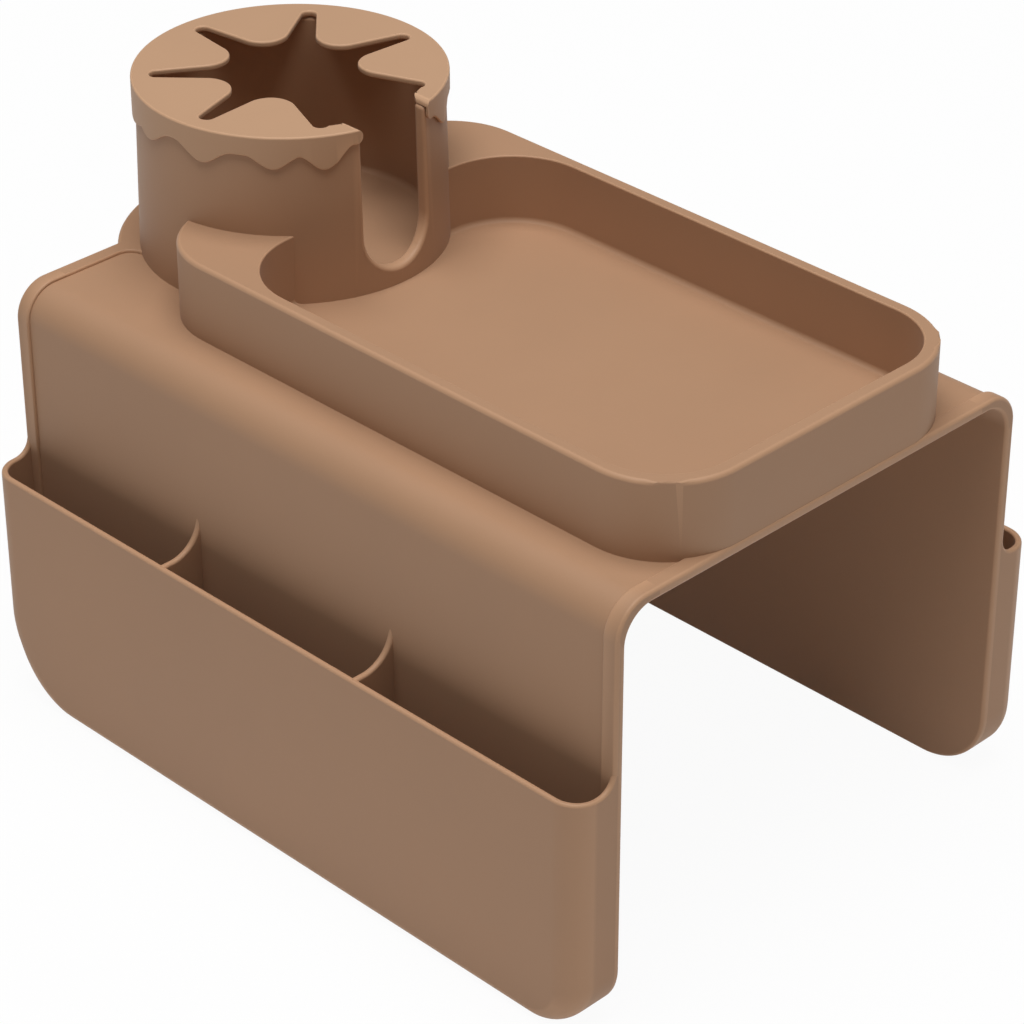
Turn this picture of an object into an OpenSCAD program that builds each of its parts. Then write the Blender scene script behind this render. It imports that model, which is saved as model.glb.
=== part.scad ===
// Silicone tray that saddles a sofa arm: a tray and a cup holder on the deck,
// a flap with a pocket down each side, and a star collar on the cup holder.
// X runs along the arm with the tray's open end at +X, Y across it, Z up.
// The origin is the middle of the footprint, level with the flaps' lower edges.

/* [Saddle] */
// Length along the sofa arm
saddle_l = 300; // [240:1:360]
// Width across the arm, over both flaps
saddle_w = 198; // [180:1:240]
// Height of the deck above the flaps' lower edges
saddle_h = 164; // [130:1:200]
// Thickness of the moulded sheet
sheet_t = 4; // [3:0.5:5]
// Outer radius of the bend between deck and flap
shoulder_r = 13.5; // [10:0.5:18]
// Inner radius of the bend between deck and flap
shoulder_in_r = 12; // [8:0.5:14]
// Radius of the lower corners of flaps and pockets
corner_r = 29; // [20:1:40]
// Width of the raised border along both ends
border_w = 6.5; // [4:0.5:12]
// Depth of the panel between the borders
panel_d = 1.2; // [0.6:0.2:1.6]
// Distance of the panel's inner edge from the middle of the deck
panel_y = 49.5; // [40:0.5:54]
// Radius of the panel's inner corners
panel_r = 6; // [3:0.5:12]

/* [Tray] */
// Width over the tray's walls
tray_w = 152; // [130:1:160]
// Height of the tray's rim above the deck
tray_h = 28.4; // [15:0.2:40]
// Thickness of the side walls
tray_side_t = 5.2; // [3:0.1:8]
// Thickness of the front wall
tray_front_t = 5.6; // [3:0.1:9]
// Thickness of the tray's floor over the deck
tray_floor_t = 1.5; // [1:0.1:3]
// Gap between the front wall and the saddle's front edge
tray_setback = 0.6; // [0.4:0.1:10]
// Radius of the outer corners
tray_corner_r = 31.5; // [20:0.5:40]
// Radius of the well's front corners
well_front_r = 26.5; // [15:0.5:34]
// Radius of the well's rear corners
well_rear_r = 31; // [15:0.5:34]
// Distance of the tray's rear end in front of the cup's axis
tray_lead = 3.5; // [2:0.5:20]
// Distance of the well's rear end in front of the cup's axis
well_lead = 42.2; // [30:0.2:50]

/* [Cup holder] */
// Distance of the cup's axis in front of the saddle's rear edge
cup_inset = 41.5; // [34:0.5:50]
// Outer radius of the barrel where it stands on the deck
barrel_foot_r = 57.3; // [55:0.1:60]
// How much narrower the barrel's radius is under the collar
barrel_draft = 1.5; // [0:0.1:3]
// Thickness of the barrel's wall
barrel_t = 4; // [3:0.2:5]
// Height of the cup holder above the deck, with its collar
cup_h = 66.8; // [50:0.2:90]
// Thickness of the cup's floor
cup_floor_t = 3; // [2:0.5:6]
// Width of the deck's round lobe outside the barrel
lobe_w = 8.2; // [4:0.2:14]
// Width of the slot for a mug's handle
slot_w = 30; // [20:1:34]
// Height of the slot's lowest point above the deck
slot_sill = 8.4; // [6:0.2:16]

/* [Star collar] */
// Thickness of the collar's top
collar_t = 2.4; // [2:0.2:4]
// Thickness of the skirt that hangs over the barrel
skirt_t = 1; // [0.8:0.1:2.5]
// Gap between skirt and barrel
skirt_gap = 0.25; // [0.2:0.05:0.6]
// Height of the skirt between its drips, with the collar's top
skirt_h = 7.6; // [6:0.2:14]
// Length of the longest drip below the skirt
drip_l = 7; // [4:0.2:12]
// Rounding of the collar's outer edge
collar_edge_r = 0.8; // [0.5:0.1:2.4]
// Angle between neighbouring slits of the star
slit_pitch = 50.3; // [50:0.1:51]
// Width of a slit at its round outer end
slit_w = 5.6; // [4:0.2:8]
// How far each side of a slit turns outwards from its middle line, towards the cup's axis
slit_flare = 7; // [0:0.5:10]
// Distance of the slits' outer ends inside the barrel's top edge
slit_margin = 5.3; // [4.2:0.1:8]
// Distance of the fingers' tips from the cup's axis
tip_reach = 24.5; // [22:0.5:30]
// Radius of the fingers' tip corners
tip_r = 9; // [4:0.5:9.5]
// How far the ring beside the handle slot reaches inside the slits' ends
ring_lip = 0.9; // [0.3:0.1:3]
// Gap between the collar's cut and the slot in the barrel, each side
cut_gap = 0.6; // [0.2:0.1:2]
// Radius of the ring's ends beside the slot
ring_end_r = 3; // [1:0.5:3.5]

/* [Pockets] */
// Depth of a pocket, outside, from the flap's face
pocket_d = 17.5; // [14:0.5:30]
// Height of a pocket's rim
pocket_h = 95; // [70:1:107]
// Thickness of a pocket's wall
pocket_t = 2.4; // [2:0.2:4]
// Thickness of a pocket's floor
pocket_floor_t = 3; // [2:0.5:5]
// Radius of a pocket's upright corners, outside
pocket_end_r = 11; // [6:0.5:13]
// Radius of a pocket's lower edge, outside
pocket_toe_r = 5; // [4:0.5:11]
// Thickness of a divider
divider_t = 2.6; // [2:0.2:4]
// Distance of the rear divider from the saddle's rear edge
rear_divider_x = 95.5; // [60:0.5:120]
// Distance of the front divider from the saddle's rear edge
front_divider_x = 194.5; // [160:0.5:230]
// Height and reach of the sweep from a divider's top up the flap
sweep_r = 13; // [6:0.5:13]

/* [Hidden] */
$fn = 96;

// How far a cut runs past what it cuts
over = 1;
skin = [0.74, 0.57, 0.44];
skin_side = [0.66, 0.50, 0.38];
skin_star = [0.79, 0.62, 0.48];

lobe_r = barrel_foot_r + lobe_w;
part_l = saddle_l + lobe_r - cup_inset;
front_x = part_l / 2;
rear_x = front_x - saddle_l;
cup_x = rear_x + cup_inset;
half_w = saddle_w / 2;
// The bend's node holds both its outer and its inner rounding
bend_w = max(shoulder_r, sheet_t + shoulder_in_r);
bend_y = half_w - bend_w;
bend_z = saddle_h - bend_w;
deck_low = saddle_h - sheet_t;
panel_rear_x = rear_x + border_w;
panel_front_x = front_x - border_w;

tray_rear_x = cup_x + tray_lead;
tray_front_x = front_x - tray_setback;
well_rear_x = cup_x + well_lead;
well_front_x = tray_front_x - tray_front_t;
well_half_w = tray_w / 2 - tray_side_t;

collar_top = saddle_h + cup_h;
collar_low = collar_top - collar_t;
barrel_h = cup_h - collar_t;
barrel_slope = barrel_draft / barrel_h;
function barrel_r(z) = barrel_foot_r - barrel_slope * (z - saddle_h);
skirt_low = collar_top - skirt_h - drip_l;
// The barrel widens downwards, so the skirt clears it at its longest drip
skirt_in_r = barrel_r(skirt_low) + skirt_gap;
skirt_out_r = skirt_in_r + skirt_t;
slot_half_w = slot_w / 2;
slot_axis_z = saddle_h + slot_sill + slot_half_w;

finger_count = 6;
slit_reach = barrel_foot_r - barrel_draft - slit_margin;
slit_axis_r = slit_reach - slit_w / 2;
ring_r = slit_reach - ring_lip;
// A finger bends along the chord between the round ends of two slits
root_r = slit_axis_r * cos(slit_pitch / 2);
first_slit = 180 - slit_pitch * finger_count / 2;
function finger_angle(k) = first_slit + slit_pitch * (k - 1 / 2);
// The angle between a finger's middle line and each of its sides, which touch the slits' round ends
finger_lean = slit_pitch / 2 + slit_flare;
function finger_half_w(r) =
    root_r * tan(slit_pitch / 2) + (r - root_r) * tan(finger_lean) - slit_w / 2 / cos(finger_lean);

// Each drip is its angle round the cup, its share of the drip length and its half width in degrees
drip_shares = [
    [-174, 0.9, 15], [-124, 1, 30], [-104, 0.86, 15], [-75.4, 0.79, 12.5], [-48.3, 0.69, 10.5],
    [-30, 0.82, 9.5], [33, 0.76, 16], [55, 0.7, 14], [80, 0.85, 12], [105, 0.7, 13],
    [131, 0.95, 14], [158, 0.7, 13]
];
hem_steps = 180;
function turn_between(a, b) = let (d = abs(a - b) % 360) min(d, 360 - d);
function drip_share(a) =
    max([for (d = drip_shares)
        let (t = turn_between(a, d[0]) / d[2])
        t < 1 ? d[1] * (1 + cos(180 * t)) / 2 : 0]);
function hem_z(a) = collar_top - skirt_h - drip_l * drip_share(a);

// The square corner of an area, less the rounding that stays
module corner_waste(r) {
    difference() {
        translate([-over, -over])
            square(r + over);
        translate([r, r])
            circle(r);
    }
}

// Rectangle from p to q, with radii for its low-low, high-low, high-high and low-high corners
module rounded_area(p, q, radii) {
    difference() {
        translate(p)
            square(q - p);
        for (i = [0:3])
            if (radii[i] > 0)
                translate([i == 1 || i == 2 ? q[0] : p[0], i > 1 ? q[1] : p[1]])
                    rotate(90 * i)
                        corner_waste(radii[i]);
    }
}

// Extrudes an area of X and Z along Y, from y0 to y1
module across(y0, y1) {
    translate([0, y1, 0])
        rotate([90, 0, 0])
            linear_extrude(y1 - y0)
                children();
}

// Extrudes an area of Y and Z along X, from x0 to x1
module along(x0, x1) {
    translate([x0, 0, 0])
        rotate([90, 0, 90])
            linear_extrude(x1 - x0)
                children();
}

// Extrudes an area of X and Y upwards, from z0 to z1
module upright(z0, z1) {
    translate([0, 0, z0])
        linear_extrude(z1 - z0)
            children();
}

module at_cup() {
    translate([cup_x, 0, 0])
        children();
}

// The barrel's cone from z0 to z1, drawn in by t
module barrel_cone(t, z0, z1) {
    at_cup()
        translate([0, 0, z0])
            cylinder(h = z1 - z0, r1 = barrel_r(z0) - t, r2 = barrel_r(z1) - t);
}

module tray_outline() {
    rounded_area([tray_rear_x, -tray_w / 2], [tray_front_x, tray_w / 2], tray_corner_r * [1, 1, 1, 1]);
}

// The sunk panel on the deck's far side, outside the tray and the barrel
module deck_panel() {
    difference() {
        rounded_area([panel_rear_x, panel_y], [panel_front_x, bend_y + over], [panel_r, panel_r, 0, 0]);
        tray_outline();
        at_cup()
            circle(barrel_foot_r);
    }
}

module deck() {
    color(skin)
        difference() {
            upright(deck_low, saddle_h) {
                translate([rear_x, -bend_y])
                    square([saddle_l, 2 * bend_y]);
                at_cup()
                    circle(lobe_r);
            }
            for (side = [0, 1])
                mirror([0, side, 0])
                    upright(saddle_h - panel_d, saddle_h + over)
                        deck_panel();
        }
}

// Filled outer corner of the far bend in Y and Z, drawn in by d
module bend_corner(d) {
    rounded_area([bend_y, bend_z], [half_w - d, saddle_h - d], (shoulder_r - d) * [0, 0, 1, 0]);
}

// What lies inside the far bend in Y and Z
module bend_hollow() {
    rounded_area([bend_y - over, bend_z - over], [half_w - sheet_t, deck_low], shoulder_in_r * [0, 0, 1, 0]);
}

module shoulder() {
    difference() {
        along(rear_x, front_x)
            difference() {
                bend_corner(0);
                bend_hollow();
            }
        along(panel_rear_x, panel_front_x)
            difference() {
                translate([bend_y - over, bend_z - over])
                    square(bend_w + 2 * over);
                bend_corner(panel_d);
                bend_hollow();
            }
    }
}

module far_shoulder() {
    color(skin)
        shoulder();
}

module near_shoulder() {
    color(skin)
        mirror([0, 1, 0])
            shoulder();
}

module flap() {
    difference() {
        across(half_w - sheet_t, half_w)
            rounded_area([rear_x, 0], [front_x, bend_z], corner_r * [1, 1, 0, 0]);
        across(half_w - panel_d, half_w + over)
            rounded_area([panel_rear_x, pocket_floor_t], [panel_front_x, bend_z + over],
                (corner_r - border_w) * [1, 1, 0, 0]);
    }
}

module far_flap() {
    color(skin_side)
        flap();
}

module near_flap() {
    color(skin_side)
        mirror([0, 1, 0])
            flap();
}

// A block with the pocket's roundings, drawn in by t all round and by base at the bottom
module pocket_block(t, base, inner_y, top) {
    x0 = rear_x + t;
    x1 = front_x - t;
    y1 = half_w + pocket_d - t;
    intersection() {
        across(inner_y, y1)
            rounded_area([x0, base], [x1, top], (corner_r - t) * [1, 1, 0, 0]);
        upright(base, top)
            rounded_area([x0, inner_y], [x1, y1], (pocket_end_r - t) * [0, 0, 1, 1]);
        along(x0, x1)
            rounded_area([inner_y, base], [y1, top], (pocket_toe_r - t) * [0, 1, 0, 0]);
    }
}

module pocket() {
    difference() {
        pocket_block(0, 0, half_w, pocket_h);
        pocket_block(pocket_t, pocket_floor_t, half_w - over, pocket_h + over);
    }
}

module far_pocket() {
    color(skin)
        pocket();
}

module near_pocket() {
    color(skin)
        mirror([0, 1, 0])
            pocket();
}

// A divider's outline in Y and Z: level from the pocket's wall, then swept up the flap
module divider_area() {
    root_y = half_w - panel_d;
    translate([root_y, pocket_floor_t])
        square([pocket_d + panel_d - pocket_t, pocket_h - pocket_floor_t]);
    translate([root_y, pocket_h])
        difference() {
            square(sweep_r);
            translate([sweep_r, sweep_r])
                circle(sweep_r);
        }
}

module divider(x) {
    mirror([0, 1, 0])
        intersection() {
            along(rear_x + x - divider_t / 2, rear_x + x + divider_t / 2)
                divider_area();
            pocket_block(pocket_t, pocket_floor_t, half_w - panel_d, pocket_h + sweep_r);
        }
}

module rear_divider() {
    color(skin_side)
        divider(rear_divider_x);
}

module front_divider() {
    color(skin_side)
        divider(front_divider_x);
}

module tray() {
    color(skin)
        difference() {
            upright(saddle_h, saddle_h + tray_h)
                tray_outline();
            upright(saddle_h + tray_floor_t, saddle_h + tray_h + over)
                rounded_area([well_rear_x, -well_half_w], [well_front_x, well_half_w],
                    [well_rear_r, well_front_r, well_front_r, well_rear_r]);
            barrel_cone(0, saddle_h, collar_low);
        }
}

// The upright slot for a mug's handle, with its round foot
module slot_area(half_w, top) {
    translate([-half_w, slot_axis_z])
        square([2 * half_w, top - slot_axis_z]);
    translate([0, slot_axis_z])
        circle(half_w);
}

module cup_barrel() {
    color(skin_side)
        difference() {
            barrel_cone(0, saddle_h, collar_low);
            barrel_cone(barrel_t, saddle_h + cup_floor_t, collar_low + over);
            along(cup_x, cup_x + barrel_foot_r + over)
                slot_area(slot_half_w, collar_top);
        }
}

// The star's slits, each with a round end and sides that spread towards the cup's axis
module star_area() {
    r = slit_w / 2;
    foot = [slit_axis_r + r * sin(slit_flare), r * cos(slit_flare)];
    head_w = foot[1] + foot[0] * tan(slit_flare);
    for (k = [0:finger_count])
        rotate(first_slit + slit_pitch * k) {
            polygon([[0, -head_w], [foot[0], -foot[1]], foot, [0, head_w]]);
            translate([slit_axis_r, 0])
                circle(r);
        }
}

// The ground between the fingers' roots
module root_area() {
    polygon([for (k = [0:finger_count])
        let (a = first_slit + slit_pitch * k)
        slit_axis_r * [cos(a), sin(a)]]);
}

// The ring's opening beside the handle slot, between the two outermost slits
module mouth_area() {
    intersection() {
        circle(ring_r);
        polygon([[0, 0], 2 * ring_r * [cos(first_slit), -sin(first_slit)],
            2 * ring_r * [cos(first_slit), sin(first_slit)]]);
    }
}

// The ring of the collar's top, with its inner corner rounded at each side of the slot
module ring_area() {
    cut_y = slot_half_w + cut_gap;
    end_x = sqrt((ring_r + ring_end_r) ^ 2 - (cut_y + ring_end_r) ^ 2);
    difference() {
        circle(skirt_out_r);
        star_area();
        root_area();
        mouth_area();
        translate([0, -cut_y])
            square([skirt_out_r + over, 2 * cut_y]);
        translate([0, -cut_y - ring_end_r])
            square([end_x, 2 * (cut_y + ring_end_r)]);
    }
    for (side = [-1, 1])
        translate([end_x, side * (cut_y + ring_end_r)])
            circle(ring_end_r);
}

// What the rounding takes off the collar's outer edge
module edge_waste() {
    rotate_extrude()
        translate([skirt_out_r, collar_top])
            rotate(180)
                corner_waste(collar_edge_r);
}

// What lies below the hem, as a ring of wedges that follow its height
module hem_waste() {
    r0 = skirt_in_r - over;
    r1 = skirt_out_r + over;
    z0 = skirt_low - over;
    turns = [for (i = [0:hem_steps - 1]) 360 * i / hem_steps];
    points = [for (a = turns)
        each [
            [r0 * cos(a), r0 * sin(a), z0],
            [r1 * cos(a), r1 * sin(a), z0],
            [r1 * cos(a), r1 * sin(a), hem_z(a)],
            [r0 * cos(a), r0 * sin(a), hem_z(a)]
        ]];
    faces = [for (i = [0:hem_steps - 1])
        for (j = [0:3])
            let (n = (i + 1) % hem_steps, m = (j + 1) % 4)
            [4 * i + j, 4 * i + m, 4 * n + m, 4 * n + j]];
    polyhedron(points, faces, convexity = 10);
}

module star_collar() {
    color(skin_star)
        at_cup()
            difference() {
                union() {
                    upright(collar_low, collar_top)
                        ring_area();
                    difference() {
                        upright(skirt_low - over, collar_top)
                            circle(skirt_out_r);
                        upright(skirt_low - 2 * over, collar_top + over)
                            circle(skirt_in_r);
                    }
                }
                hem_waste();
                edge_waste();
                along(0, skirt_out_r + over)
                    slot_area(slot_half_w + cut_gap, collar_top + over);
            }
}

// A finger's outline along X, from its root chord to its rounded tip
module finger_area() {
    r = min(tip_r, (root_r - tip_reach) / 2);
    x = tip_reach + r;
    y = max(0, finger_half_w(x) - r / cos(finger_lean));
    shoulder = [x - r * sin(finger_lean), y + r * cos(finger_lean)];
    polygon([
        [tip_reach, -y], [shoulder[0], -shoulder[1]], [root_r, -finger_half_w(root_r)],
        [root_r, finger_half_w(root_r)], shoulder, [tip_reach, y]
    ]);
    for (side = [-1, 1])
        translate([x, side * y])
            circle(r);
}

// One finger, with its root at the ring and its tip towards the cup's axis
module finger(k) {
    color(skin_star)
        at_cup()
            rotate(finger_angle(k))
                upright(collar_low, collar_top)
                    finger_area();
}

deck();
near_shoulder();
far_shoulder();
near_flap();
far_flap();
tray();
cup_barrel();
star_collar();
finger(1);  // finger_1
finger(2);  // finger_2
finger(3);  // finger_3
finger(4);  // finger_4
finger(5);  // finger_5
finger(6);  // finger_6
near_pocket();
far_pocket();
rear_divider();
front_divider();
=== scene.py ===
"""The looks of a silicone sofa arm tray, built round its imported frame.

A saddle of moulded sheet carries a walled tray, a slotted cup holder under a star collar
with a dripping hem, and a pocket down each side. Every length is in metres, in the frame's
own axes: X runs along the sofa's arm, Y across it and Z upwards.
"""
import logging
import math
from contextlib import contextmanager
from dataclasses import dataclass, field
from enum import Enum
from typing import Callable, Iterator, Sequence

import bmesh
import bpy
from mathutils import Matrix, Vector


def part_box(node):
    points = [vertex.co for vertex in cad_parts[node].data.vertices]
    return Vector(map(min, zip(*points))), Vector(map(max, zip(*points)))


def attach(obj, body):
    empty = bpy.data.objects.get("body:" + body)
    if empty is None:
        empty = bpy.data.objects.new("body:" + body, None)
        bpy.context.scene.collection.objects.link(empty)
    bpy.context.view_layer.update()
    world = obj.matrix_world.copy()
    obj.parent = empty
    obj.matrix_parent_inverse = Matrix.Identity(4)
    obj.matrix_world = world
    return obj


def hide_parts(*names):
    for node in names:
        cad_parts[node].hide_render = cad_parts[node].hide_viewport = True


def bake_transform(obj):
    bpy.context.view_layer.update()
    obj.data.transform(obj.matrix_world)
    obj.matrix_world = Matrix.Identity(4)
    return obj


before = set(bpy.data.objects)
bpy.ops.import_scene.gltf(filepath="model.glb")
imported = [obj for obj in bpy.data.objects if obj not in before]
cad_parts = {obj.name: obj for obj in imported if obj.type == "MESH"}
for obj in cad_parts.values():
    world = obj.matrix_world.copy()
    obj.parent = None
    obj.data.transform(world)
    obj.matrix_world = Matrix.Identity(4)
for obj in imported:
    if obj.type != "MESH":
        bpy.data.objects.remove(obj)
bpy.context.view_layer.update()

log = logging.getLogger("arm_tray")
MM = 0.001
NEAR = 1e-5
OVER = 3 * MM
EdgeTest = Callable[[bmesh.types.BMEdge], bool]


# -------- the bench


class Part(Enum):
    """What a selection is made of."""

    VERTS = "verts"
    EDGES = "edges"
    FACES = "faces"


class Way(Enum):
    """How two solids are combined."""

    CUT = "DIFFERENCE"
    FUSE = "UNION"
    COMMON = "INTERSECT"


def clear_bench() -> None:
    """Leaves edit mode and deselects everything."""
    if bpy.context.object and bpy.context.object.mode != "OBJECT":
        bpy.ops.object.mode_set(mode="OBJECT")
    bpy.ops.object.select_all(action="DESELECT")


class Solid:
    """A closed mesh that is worked on with Blender's own tools."""

    def __init__(self, obj: bpy.types.Object) -> None:
        """Wraps a mesh object whose place is in its mesh."""
        self.obj = obj

    @classmethod
    def _added(cls, name: str) -> "Solid":
        """Names the primitive just added and puts its place into its mesh.

        Args:
            name: The object's name.

        Returns:
            The primitive.
        """
        obj = bpy.context.object
        obj.name = obj.data.name = name
        bpy.ops.object.transform_apply(location=True, rotation=True, scale=True)
        return cls(obj)

    @classmethod
    def block(cls, name: str, low: Sequence[float], high: Sequence[float]) -> "Solid":
        """Adds a block.

        Args:
            name: The object's name.
            low: The lowest corner.
            high: The highest corner.

        Returns:
            The block.
        """
        clear_bench()
        a, b = Vector(low), Vector(high)
        bpy.ops.mesh.primitive_cube_add(size=1, location=(a + b) / 2, scale=b - a)
        return cls._added(name)

    @classmethod
    def drum(
        cls, name: str, axis: Sequence[float], heights: Sequence[float], radii: Sequence[float], sides: int = 144
    ) -> "Solid":
        """Adds an upright cylinder or cone.

        Args:
            name: The object's name.
            axis: X and Y of its axis.
            heights: Z of its foot and of its top.
            radii: Its radius at the foot and at the top.
            sides: The number of its sides.

        Returns:
            The drum.
        """
        clear_bench()
        bpy.ops.mesh.primitive_cone_add(
            vertices=sides, radius1=radii[0], radius2=radii[1], depth=heights[1] - heights[0],
            location=(axis[0], axis[1], sum(heights) / 2))
        return cls._added(name)

    def hold(self) -> None:
        """Makes this the one selected and active object."""
        clear_bench()
        self.obj.select_set(True)
        bpy.context.view_layer.objects.active = self.obj

    @contextmanager
    def editing(self, part: Part) -> Iterator[None]:
        """Holds the mesh in edit mode, with nothing selected.

        Args:
            part: The kind of part that is selected by.

        Yields:
            Nothing, while the mesh is in edit mode.
        """
        self.hold()
        bpy.ops.object.mode_set(mode="EDIT")
        bpy.context.tool_settings.mesh_select_mode = tuple(part is p for p in Part)
        bpy.ops.mesh.select_all(action="DESELECT")
        yield
        bpy.ops.object.mode_set(mode="OBJECT")

    def pick(self, part: Part, test: Callable[..., bool]) -> int:
        """Selects what passes a test, in edit mode.

        Args:
            part: The kind of part.
            test: Says whether a part is chosen.

        Returns:
            How many were chosen.
        """
        mesh = bmesh.from_edit_mesh(self.obj.data)
        mesh.normal_update()
        chosen = [p for p in getattr(mesh, part.value) if test(p)]
        for p in chosen:
            p.select_set(True)
        mesh.select_flush_mode()
        bmesh.update_edit_mesh(self.obj.data)
        return len(chosen)

    def round_edges(self, radius: float, steps: int, test: EdgeTest) -> "Solid":
        """Rounds the edges that pass a test.

        Args:
            radius: The rounding's width on each side of the edge.
            steps: The number of faces across the rounding.
            test: Says whether an edge is rounded.

        Returns:
            This solid.
        """
        with self.editing(Part.EDGES):
            count = self.pick(Part.EDGES, test)
            if count:
                bpy.ops.mesh.bevel(
                    offset=radius, segments=steps, profile=0.5, affect="EDGES", clamp_overlap=False)
        log.debug("%s: %d edges rounded by %.2f mm", self.obj.name, count, radius / MM)
        return self

    def round_feet(self, ends: Sequence[float], radii: Sequence[float], inset: float, foot: float, steps: int) -> None:
        """Rounds the two lower corners of a side, each to its own radius.

        Args:
            ends: X of its rear and front ends.
            radii: The radii of the side's outline there.
            inset: How far this solid is drawn in from that outline.
            foot: The height of its foot.
            steps: The number of faces round each corner.
        """
        for x, r in zip(ends, radii):
            self.round_edges(r - inset, steps, lambda e, x=x: runs(e, 1) and all_at(e, 0, x) and all_at(e, 2, foot))

    def round_unevenly(self, radius: float, steps: int, share: Callable[[Vector, Vector], float]) -> "Solid":
        """Rounds edges by a radius that changes from edge to edge.

        Args:
            radius: The largest rounding's width.
            steps: The number of faces across the rounding.
            share: An edge's share of that width, from its two ends; zero leaves it sharp.

        Returns:
            This solid.
        """
        self.hold()
        mesh = self.obj.data
        weights = mesh.attributes.new("bevel_weight_edge", "FLOAT", "EDGE")
        for edge in mesh.edges:
            weights.data[edge.index].value = share(*(mesh.vertices[i].co for i in edge.vertices))
        bpy.ops.object.modifier_add(type="BEVEL")
        tool = self.obj.modifiers[-1]
        tool.limit_method, tool.width, tool.segments, tool.use_clamp_overlap = "WEIGHT", radius, steps, False
        bpy.ops.object.modifier_apply(modifier=tool.name)
        return self

    def grow(self, test: Callable[[bmesh.types.BMFace], bool], shift: Sequence[float]) -> "Solid":
        """Extrudes some faces.

        Args:
            test: Says whether a face is extruded.
            shift: How far it goes along X, Y and Z.

        Returns:
            This solid.
        """
        with self.editing(Part.FACES):
            self.pick(Part.FACES, test)
            bpy.ops.mesh.extrude_region_move(TRANSFORM_OT_translate={"value": tuple(shift)})
        return self

    def combine(self, other: "Solid", way: Way) -> "Solid":
        """Combines this with another solid, which is used up.

        Args:
            other: The other solid.
            way: How they are combined.

        Returns:
            This solid.
        """
        self.hold()
        bpy.ops.object.modifier_add(type="BOOLEAN")
        tool = self.obj.modifiers[-1]
        tool.operation = way.value
        tool.solver = "EXACT"
        tool.object = other.obj
        bpy.ops.object.modifier_apply(modifier=tool.name)
        bpy.data.objects.remove(other.obj, do_unlink=True)
        return self

    def bisect(self, point: Sequence[float], normal: Sequence[float], drop: bool = True) -> "Solid":
        """Cuts the mesh by a plane.

        Args:
            point: A point on the plane.
            normal: The plane's normal.
            drop: Whether the side that the normal points to goes away, and the cut is closed.

        Returns:
            This solid.
        """
        with self.editing(Part.FACES):
            bpy.ops.mesh.select_all(action="SELECT")
            bpy.ops.mesh.bisect(
                plane_co=tuple(point), plane_no=tuple(normal), use_fill=drop, clear_outer=drop, threshold=1e-7)
        return self

    def place(self, name: str, mirror_y: bool = False, turn: float = 0.0, axis: Sequence[float] = (0, 0)) -> "Solid":
        """Moves this solid to its place and renames it.

        Args:
            name: Its new name.
            mirror_y: Whether it is mirrored across the arm.
            turn: The angle that it is turned by about an upright axis.
            axis: X and Y of that axis.

        Returns:
            This solid.
        """
        self.hold()
        self.obj.name = self.obj.data.name = name
        if mirror_y:
            self.obj.scale.y = -1
            bpy.ops.object.transform_apply(location=False, rotation=False, scale=True)
            self.face_outwards()
        if turn:
            at = Vector((axis[0], axis[1], 0))
            cos, sin = math.cos(turn), math.sin(turn)
            self.obj.rotation_euler.z = turn
            self.obj.location = at - Vector((at.x * cos - at.y * sin, at.x * sin + at.y * cos, 0))
            bpy.ops.object.transform_apply(location=True, rotation=True, scale=True)
        return self

    def face_outwards(self) -> "Solid":
        """Merges doubles and turns every face outwards.

        Returns:
            This solid.
        """
        with self.editing(Part.VERTS):
            bpy.ops.mesh.select_all(action="SELECT")
            bpy.ops.mesh.remove_doubles(threshold=1e-7)
            bpy.ops.mesh.normals_make_consistent(inside=False)
        return self

    def clean(self) -> "Solid":
        """Merges what a combination left split: doubles, and flat faces side by side.

        Returns:
            This solid.
        """
        with self.editing(Part.VERTS):
            bpy.ops.mesh.select_all(action="SELECT")
            bpy.ops.mesh.remove_doubles(threshold=2e-6)
            bpy.ops.mesh.dissolve_limited(angle_limit=math.radians(0.2))
        return self

    def finish(self, angle: float = 35.0) -> "Solid":
        """Shades the solid smooth, keeps its flat faces flat and writes how round it is at each point.

        Args:
            angle: The angle in degrees above which an edge stays sharp.

        Returns:
            This solid.
        """
        self.hold()
        bpy.ops.object.shade_smooth_by_angle(angle=math.radians(angle))
        bpy.ops.object.modifier_add(type="WEIGHTED_NORMAL")
        tool = self.obj.modifiers[-1]
        tool.keep_sharp = True
        bpy.ops.object.modifier_apply(modifier=tool.name)
        mesh = bmesh.new()
        mesh.from_mesh(self.obj.data)
        open_edges = sum(len(e.link_faces) != 2 for e in mesh.edges)
        rounding = self.obj.data.attributes.new("rounding", "FLOAT", "POINT")
        for v in mesh.verts:
            rounding.data[v.index].value = tightness(v)
        volume = mesh.calc_volume(signed=True) * 1e6
        log.info("%s: %d faces, %d open edges, %.1f cm3", self.obj.name, len(mesh.faces), open_edges, volume)
        mesh.free()
        return self


def sharp(edge: bmesh.types.BMEdge, least: float = 40.0) -> bool:
    """Whether an edge stands out by more than an angle in degrees."""
    return len(edge.link_faces) == 2 and edge.is_convex and edge.calc_face_angle() > math.radians(least)


# the curvatures between which the painted highlight on rounded edges fades in, through the rounding attribute
ROUND_FROM = 85.0
ROUND_FULL = 110.0
CREASE = 0.9


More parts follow.
